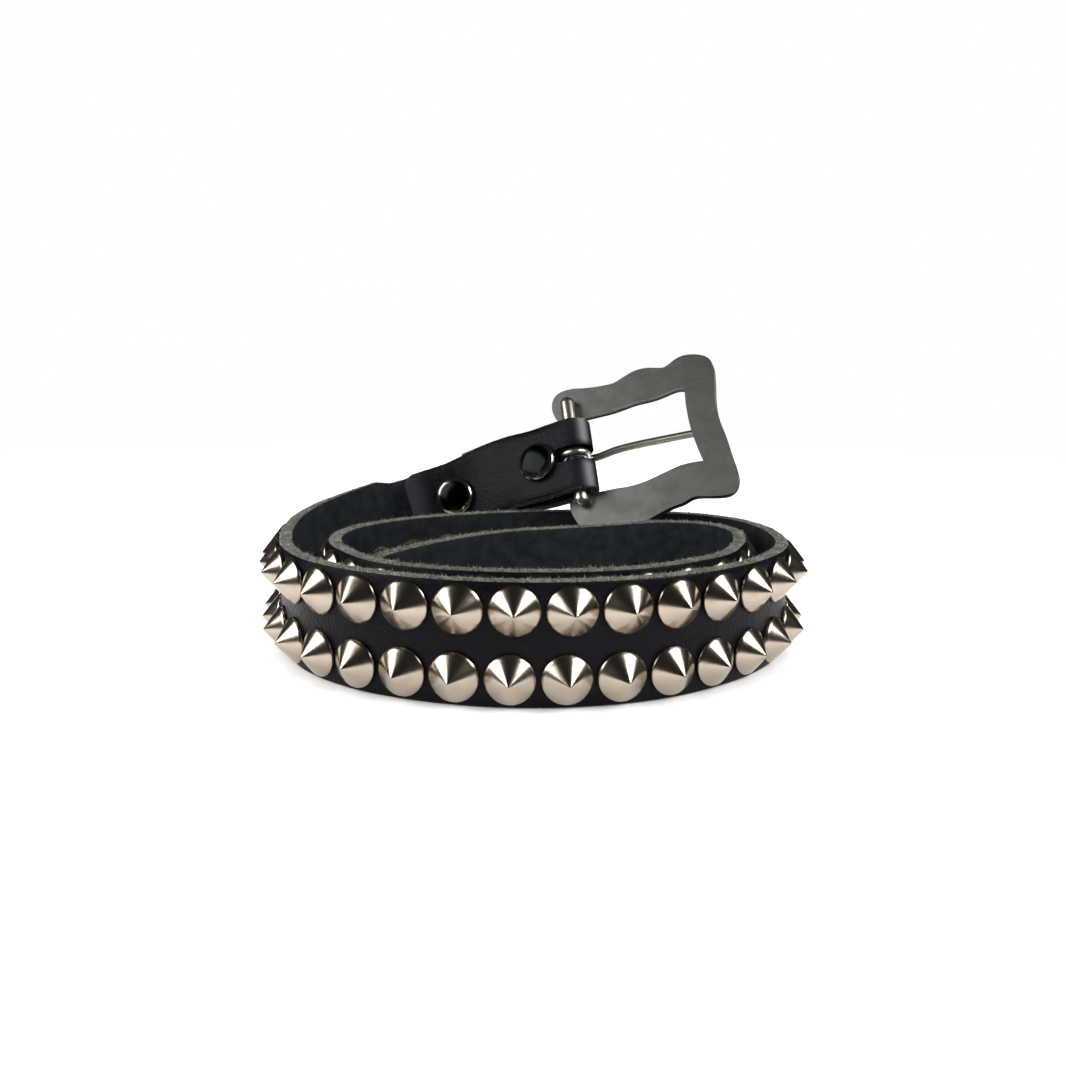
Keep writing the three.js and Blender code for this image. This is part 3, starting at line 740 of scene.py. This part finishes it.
# Metal marks: a slow haze and mottling as masks, and small pits as a height.
metal_marks = bpy.data.node_groups.new("metal_marks", "ShaderNodeTree")
group_socket(metal_marks, "Haze Size", "INPUT", "NodeSocketFloat", 160)
group_socket(metal_marks, "Pit Size", "INPUT", "NodeSocketFloat", 900)
group_socket(metal_marks, "Haze", "OUTPUT", "NodeSocketFloat")
group_socket(metal_marks, "Mottling", "OUTPUT", "NodeSocketFloat")
group_socket(metal_marks, "Height", "OUTPUT", "NodeSocketFloat")
metal_in = metal_marks.nodes.new("NodeGroupInput")
metal_out = metal_marks.nodes.new("NodeGroupOutput")
metal_where = metal_marks.nodes.new("ShaderNodeTexCoord")
haze = put(metal_marks, "ShaderNodeTexNoise", Detail=5.0, Roughness=0.6)
pits = put(metal_marks, "ShaderNodeTexNoise", Detail=3.0, Roughness=0.5)
mottling = put(metal_marks, "ShaderNodeMapRange", From_Min=0.34, From_Max=0.66)
for texture in (haze, pits):
    metal_marks.links.new(metal_where.outputs["Object"], texture.inputs["Vector"])
metal_marks.links.new(metal_in.outputs["Haze Size"], haze.inputs["Scale"])
metal_marks.links.new(metal_in.outputs["Pit Size"], pits.inputs["Scale"])
metal_marks.links.new(haze.outputs[0], metal_out.inputs["Haze"])
metal_marks.links.new(haze.outputs[0], mottling.inputs["Value"])
metal_marks.links.new(mottling.outputs[0], metal_out.inputs["Mottling"])
metal_marks.links.new(pits.outputs[0], metal_out.inputs["Height"])


def metal(name, clean, dull, rough, haze_size, pit_size, strength, depth, painted_sheen=None):
    made = bpy.data.materials.new(name)
    tree, shader = nodes_of(made)
    marks = tree.nodes.new("ShaderNodeGroup")
    marks.node_tree = metal_marks
    marks.inputs["Haze Size"].default_value = haze_size
    marks.inputs["Pit Size"].default_value = pit_size
    shader.inputs["Metallic"].default_value = 1.0
    tone = blend_colours(tree, marks.outputs["Mottling"], clean, dull)
    if painted_sheen:
        tone = paint_sheen(tree, tone, painted_sheen)
    tree.links.new(tone, shader.inputs["Base Color"])
    tree.links.new(
        blend_values(tree, marks.outputs["Haze"], rough[0], rough[1]), shader.inputs["Roughness"]
    )
    raise_surface(tree, shader, marks.outputs["Height"], strength, depth)
    return made


stud_nickel = metal(
    "stud_nickel", (0.42, 0.360, 0.295, 1), (0.36, 0.31, 0.255, 1), (0.15, 0.26),
    180, 1400, 0.05, 0.0001,
)
stud_verts, stud_faces = [], []
stud_count = math.floor((STRAP_LENGTH - STUD_START - STUD_FROM_TIP) / STUD_PITCH) + 1
for i in range(stud_count):
    for row in (1, -1):
        distance = STRAP_LENGTH - STUD_FROM_TIP - i * STUD_PITCH - (ROW_STAGGER if row < 0 else 0)
        place, along, outward, upward = strap_at(distance)
        place = place + upward * (row * ROW_SPACING / 2 + ROW_RAISE) + outward * STRAP_THICK / 2
        profile = [(r * STUD_RADIUS, h * STUD_HEIGHT) for r, h in STUD_PROFILE]
        side = upward.cross(outward)
        turned(stud_verts, stud_faces, profile, place, side, upward, outward, 36)
studs = mesh_piece("cone_studs", stud_verts, stud_faces, [stud_nickel], 50)
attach(studs, "belt")

# Keeper. A raw-edged loop of 2 mm leather that runs between flap and strap and stands off
# behind the strap, where it holds the studded tail. Its top and the corner at the flap are raw.
KEEPER_AT = 0.037
KEEPER_WIDTH = 0.0127
KEEPER_THICK = 0.002
KEEPER_ROOM = 0.0108
KEEPER_EASE = 0.0005
KEEPER_CORNER = 0.002


def round_loop(inner, outer, half, corner, steps):
    rows = []
    centres = [
        (outer - corner, corner - half, -90),
        (outer - corner, half - corner, 0),
        (inner + corner, half - corner, 90),
        (inner + corner, corner - half, 180),
    ]
    for middle, high, start in centres:
        for k in range(steps + 1):
            turn = math.radians(start + 90 * k / steps)
            rows.append((middle + corner * math.cos(turn), high + corner * math.sin(turn)))
    return rows


keeper_inner = -STRAP_THICK / 2 - KEEPER_EASE
keeper_outer = STRAP_THICK / 2 + KEEPER_ROOM
keeper_half = NARROW_WIDTH / 2 + KEEPER_EASE
outer_loop = round_loop(
    keeper_inner - KEEPER_THICK, keeper_outer + KEEPER_THICK, keeper_half + KEEPER_THICK,
    KEEPER_CORNER, 6,
)
inner_loop = round_loop(keeper_inner, keeper_outer, keeper_half, KEEPER_CORNER / 4, 6)
loop_count = len(outer_loop)
keeper_verts, keeper_faces, keeper_kinds = [], [], []
keeper_shares = (-0.5, -0.49, -0.45, -0.3, -0.15, 0, 0.15, 0.3, 0.45, 0.49, 0.5)
for share in keeper_shares:
    place, along, outward, upward = strap_at(KEEPER_AT + KEEPER_WIDTH * share)
    pull = 0.00018 if abs(share) == 0.5 else 0
    for (out, high), (in_out, in_high) in zip(outer_loop, inner_loop):
        step = Vector((in_out - out, in_high - high, 0)).normalized() * pull
        keeper_verts.append(place + outward * (out + step.x) + upward * (high + step.y))
    for (out, high), (far_out, far_high) in zip(inner_loop, outer_loop):
        step = Vector((far_out - out, far_high - high, 0)).normalized() * pull
        keeper_verts.append(place + outward * (out + step.x) + upward * (high + step.y))
for side in range(loop_count):
    after = (side + 1) % loop_count
    for ring in range(len(keeper_shares) - 1):
        near = ring * 2 * loop_count
        far = near + 2 * loop_count
        end = ring in (0, len(keeper_shares) - 2)
        keeper_faces.append((near + side, far + side, far + after, near + after))
        raw_top = outer_loop[side][1] > keeper_half and outer_loop[after][0] < -STRAP_THICK / 2
        keeper_kinds.append(EDGE if end or raw_top else GRAIN)
        keeper_faces.append((
            near + loop_count + after, far + loop_count + after,
            far + loop_count + side, near + loop_count + side,
        ))
        keeper_kinds.append(EDGE if end else FLESH)
    last = (len(keeper_shares) - 1) * 2 * loop_count
    keeper_faces.append((after, loop_count + after, loop_count + side, side))
    keeper_kinds.append(EDGE)
    keeper_faces.append((
        last + side, last + loop_count + side, last + loop_count + after, last + after,
    ))
    keeper_kinds.append(EDGE)
keeper = mesh_piece("keeper", keeper_verts, keeper_faces, LEATHER, 60)
for face, kind in zip(keeper.data.polygons, keeper_kinds):
    face.material_index = kind
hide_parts("keeper_loop")
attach(keeper, "belt")

# Snaps. Each is a pressed domed cap on the flap and a flat rolled back on the outer side,
# black nickel on brass, made near-black as painted shade over the cap's middle, with a painted
# highlight round the cap's rim.
SNAP_CAP = 0.0145
SNAP_DOME = 0.0026
SNAP_DISH = 0.0008
SNAP_BACK = 0.010
# Where the painted highlight round each cap's rim starts and how far it spreads, as shares of the
# cap's radius.
RIM_HIGHLIGHT_FROM = 0.74
RIM_HIGHLIGHT_OVER = 0.16
POLE_RADIUS = 0.00004
SNAP_POST = 0.005
SNAP_PLACES = (0.012, 0.0495)

# The rolled back from its edge to its dimple: share of its radius, height over the strap.
SNAP_BACK_PROFILE = [
    (0.96, 0.0), (1.0, 0.0003), (0.96, 0.0007), (0.85, 0.0012),
    (0.6, 0.0015), (0.35, 0.0016), (0.3, 0.0011), (0.22, 0.0010),
]
# Snap plating: near-black as painted shade over the caps' middles, and a lighter tone as painted
# highlight round their rims.
snap_nickel = metal(
    "snap_nickel", (0.006, 0.007, 0.007, 1), (0.004, 0.005, 0.005, 1), (0.12, 0.20),
    140, 800, 0.08, 0.0001, (0.50, 0.47, 0.43, 1),
)
for number, distance in enumerate(SNAP_PLACES, 1):
    face = STRAP_THICK / 2 + 0.0003
    foot = 0.00035 - flap_spacing(distance) / 2
    rim = face + SNAP_DISH
    cap = SNAP_CAP / 2
    cap_profile = [(SNAP_POST / 2, foot), (SNAP_POST / 2, face), (cap * 0.97, rim - 0.0001)]
    cap_profile += [(cap, rim + 0.00025), (cap * 0.995, rim + 0.0005)]
    for k in range(1, 15):
        turn = math.pi / 2 * k / 15
        height = rim + 0.0005 + (SNAP_DOME - 0.0005) * math.sin(turn) ** 0.8
        cap_profile.append((cap * 0.99 * math.cos(turn) ** 0.8, height))
    cap_profile.append((POLE_RADIUS, rim + SNAP_DOME))
    back = SNAP_BACK / 2
    back_profile = [(SNAP_POST / 2, foot), (SNAP_POST / 2, face)]
    back_profile += [(back * radius, face + height) for radius, height in SNAP_BACK_PROFILE]
    back_profile.append((POLE_RADIUS, face + 0.0010))
    place, grain, upward = flap_at(distance)
    side = upward.cross(grain)
    verts, faces = [], []
    turned(verts, faces, cap_profile, place, side, upward, grain, 64)
    cap_piece = mesh_piece(f"snap_cap_{number}", verts, faces, [snap_nickel], 40)
    # Painted highlight: the cap's colour lightens towards its rim.
    radii = [(vert - place).cross(grain).length / cap for vert in verts]
    sheen_shares = [min(max((radius - RIM_HIGHLIGHT_FROM) / RIM_HIGHLIGHT_OVER, 0), 1) for radius in radii]
    cap_piece.data.attributes.new("painted_sheen", "FLOAT", "POINT").data.foreach_set("value", sheen_shares)
    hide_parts(f"snap_{number}_cap")
    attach(cap_piece, "belt")
    place, _, outward, upward = strap_at(distance)
    side = upward.cross(outward)
    verts, faces = [], []
    turned(verts, faces, back_profile, place, side, upward, outward, 48)
    back_piece = mesh_piece(f"snap_back_{number}", verts, faces, [snap_nickel], 40)
    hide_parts(f"snap_{number}_back")
    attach(back_piece, "belt")

# Buckle frame. One flat C-shaped zinc casting with a wavy outer edge, tumbled dull grey, its
# two lobes behind the bar.
FRAME_LENGTH = 0.061
FRAME_HEIGHT = 0.058
FRAME_THICK = 0.0032
FRAME_BEVEL = 0.0006
FRAME_SHIFT = 0.0013
FRAME_BACK = BAR_RADIUS + 0.0003

# Outline from the corner of the opening, as shares of the casting's length and height.
FRAME_OUTLINE = [
    (0.749, -0.247), (0.730, -0.140), (0.713, 0), (0.712, 0.140), (0.720, 0.262),
    (0.700, 0.285), (0.650, 0.293), (0.530, 0.279), (0.400, 0.284), (0.250, 0.275),
    (0.080, 0.283), (-0.030, 0.272), (-0.085, 0.310), (-0.109, 0.390), (-0.095, 0.458),
    (-0.048, 0.492), (0.030, 0.491), (0.125, 0.466), (0.220, 0.449), (0.300, 0.444),
    (0.375, 0.467), (0.440, 0.484), (0.510, 0.479), (0.570, 0.458), (0.612, 0.446),
    (0.650, 0.455), (0.700, 0.478), (0.750, 0.485), (0.815, 0.467), (0.870, 0.430),
    (0.892, 0.370), (0.882, 0.260), (0.862, 0.120), (0.861, 0.020), (0.877, -0.100),
    (0.889, -0.230), (0.901, -0.350), (0.895, -0.415), (0.868, -0.458), (0.825, -0.472),
    (0.757, -0.460), (0.680, -0.439), (0.630, -0.437), (0.575, -0.455), (0.505, -0.464),
    (0.418, -0.488), (0.330, -0.510), (0.211, -0.514), (0.108, -0.509), (0.020, -0.490),
    (-0.040, -0.437), (-0.074, -0.362), (-0.082, -0.295), (-0.050, -0.268), (0.100, -0.269),
    (0.197, -0.274), (0.290, -0.283), (0.385, -0.279), (0.500, -0.256), (0.600, -0.236),
    (0.693, -0.238), (0.749, -0.247),
]


def buckle_spot(forward, upward, front):
    return BAR_PLACE + BAR_OUT * forward + BAR_UP * upward + BAR_FRONT * front


# Points at even shares along the smooth line through the outline's rows.
def even_outline(rows, count):
    def at(share):
        spot = share * (len(rows) - 1)
        i = min(int(spot), len(rows) - 2)
        weight = spot - i
        a = rows[max(i - 1, 0)] if i > 0 else rows[0]
        b, c = rows[i], rows[i + 1]
        d = rows[min(i + 2, len(rows) - 1)]
        start, end = (c - a) / 2, (d - b) / 2
        square, cube = weight ** 2, weight ** 3
        return (
            (b * 2 - c * 2 + start + end) * cube
            + (b * -3 + c * 3 - start * 2 - end) * square
            + start * weight
            + b
        )

    return [at(k / count) for k in range(count)]


outline = even_outline(
    [Vector((x * FRAME_LENGTH, y * FRAME_HEIGHT + FRAME_SHIFT)) for x, y in FRAME_OUTLINE], 372
)
frame_verts, frame_faces = [], []
levels = [(1.0, 0.0), (0.62, 0.12), (0.30, 0.30), (0.08, 0.65), (0.0, 1.0)]
layers = [(inset * FRAME_BEVEL, depth * FRAME_BEVEL) for inset, depth in levels]
layers += [(inset, FRAME_THICK - depth) for inset, depth in reversed(layers)]
count = len(outline)
for inset, depth in layers:
    for i, point in enumerate(outline):
        ahead = outline[(i + 1) % count] - outline[i - 1]
        inward = Vector((-ahead.y, ahead.x)).normalized() * inset
        uneven = noise.noise(Vector((point.x, point.y, depth)) * 220) * 0.00006
        spot = point + inward
        frame_verts.append(buckle_spot(spot.x, spot.y, -FRAME_BACK - FRAME_THICK + depth + uneven))
for layer in range(len(layers) - 1):
    for i in range(count):
        after = (i + 1) % count
        a, b = layer * count, (layer + 1) * count
        frame_faces.append((a + i, a + after, b + after, b + i))
last = (len(layers) - 1) * count
flat = [[Vector((point.x, point.y, 0)) for point in outline]]
for triangle in tessellate_polygon(flat):
    a, b, c = triangle
    turn = (outline[b] - outline[a]).cross(outline[c] - outline[a])
    a, b, c = (a, b, c) if turn > 0 else (a, c, b)
    frame_faces.append((c, b, a))
    frame_faces.append((last + a, last + b, last + c))
grey_casting = metal(
    "grey_casting", (0.158, 0.160, 0.148, 1), (0.125, 0.127, 0.119, 1), (0.42, 0.58),
    150, 1300, 0.10, 0.0001,
)
casting = mesh_piece("buckle_casting", frame_verts, frame_faces, [grey_casting], 50)
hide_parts("buckle_frame")
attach(casting, "buckle")

# Bar. A bright nickel-plated steel rod with domed ends, riveted across the casting's lobes.
BAR_SHIFT = 0.0036
BAR_OVERLAP = 0.0083
bar_half = NARROW_WIDTH / 2 + BAR_OVERLAP
bright_nickel = metal(
    "bright_nickel", (0.78, 0.76, 0.70, 1), (0.60, 0.56, 0.48, 1), (0.22, 0.38),
    200, 1100, 0.10, 0.0001,
)
bar_profile = []
for k in range(1, 9):
    turn = math.pi / 2 * k / 8
    bar_profile.append((BAR_RADIUS * math.sin(turn), BAR_RADIUS * (1 - math.cos(turn)) - bar_half))
bar_profile += [(radius, -height) for radius, height in reversed(bar_profile)]
verts, faces = [], []
turned(verts, faces, bar_profile, buckle_spot(0, BAR_SHIFT, 0), BAR_FRONT, BAR_OUT, BAR_UP, 32)
bar = mesh_piece("bar", verts, faces, [bright_nickel], 40)
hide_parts("buckle_bar")
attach(bar, "buckle")

# Prong. One nickel-plated wire bent round the bar, with a slightly bowed run across the
# opening and a rounded tip on the front of the casting.
WIRE_RADIUS = 0.0015
PRONG_REACH = 0.775 * FRAME_LENGTH
PRONG_LIFT = 0.001
PRONG_BOW = 0.0012

# The prong's run from the bar to its tip, as shares of its reach and of the casting's height.
PRONG_RUN = [(0.15, 0.016), (0.3, 0.036), (0.45, 0.039), (0.6, 0.034), (0.85, 0.019), (1, 0.009)]
ring_radius = BAR_RADIUS + BAR_EASE + WIRE_RADIUS
wire = []
for k in range(15):
    turn = (-0.35 + 1.85 * k / 14) * math.pi
    ring_spot = Vector((ring_radius * math.cos(turn), PRONG_LIFT, ring_radius * math.sin(turn)))
    wire.append(ring_spot * 1000)
rest = -(FRAME_BACK + FRAME_THICK + 0.0003 + WIRE_RADIUS)
for share, high in PRONG_RUN:
    front = -ring_radius + (rest + ring_radius) * share - PRONG_BOW * math.sin(math.pi * share)
    wire.append(Vector((share * PRONG_REACH, high * FRAME_HEIGHT, front)) * 1000)
verts, faces = [], []
WIRE_STEPS = 160
WIRE_SIDES = 20
for k in range(WIRE_STEPS + 1):
    share = k / WIRE_STEPS
    middle = smooth_curve(wire, share) / 1000
    ahead = smooth_curve(wire, min(share + 0.001, 1)) - smooth_curve(wire, max(share - 0.001, 0))
    across = Vector((0, 1, 0))
    over = ahead.cross(across).normalized()
    across = over.cross(ahead).normalized()
    thin = math.sqrt(max(1 - max((share - 0.985) / 0.015, 0) ** 2, 0.03))
    thin *= math.sqrt(max(1 - max((0.012 - share) / 0.012, 0) ** 2, 0.03))
    for corner in range(WIRE_SIDES):
        turn = math.tau * corner / WIRE_SIDES
        spot = middle + (across * math.cos(turn) + over * math.sin(turn)) * WIRE_RADIUS * thin
        verts.append(buckle_spot(spot.x, spot.y, spot.z))
    if k:
        a, b = (k - 1) * WIRE_SIDES, k * WIRE_SIDES
        for corner in range(WIRE_SIDES):
            after = (corner + 1) % WIRE_SIDES
            faces.append((a + corner, b + corner, b + after, a + after))
faces.append(tuple(range(WIRE_SIDES)))
faces.append(tuple(WIRE_STEPS * WIRE_SIDES + c for c in reversed(range(WIRE_SIDES))))
prong = mesh_piece("wire_prong", verts, faces, [bright_nickel], 60)
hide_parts("prong")
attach(prong, "tongue")
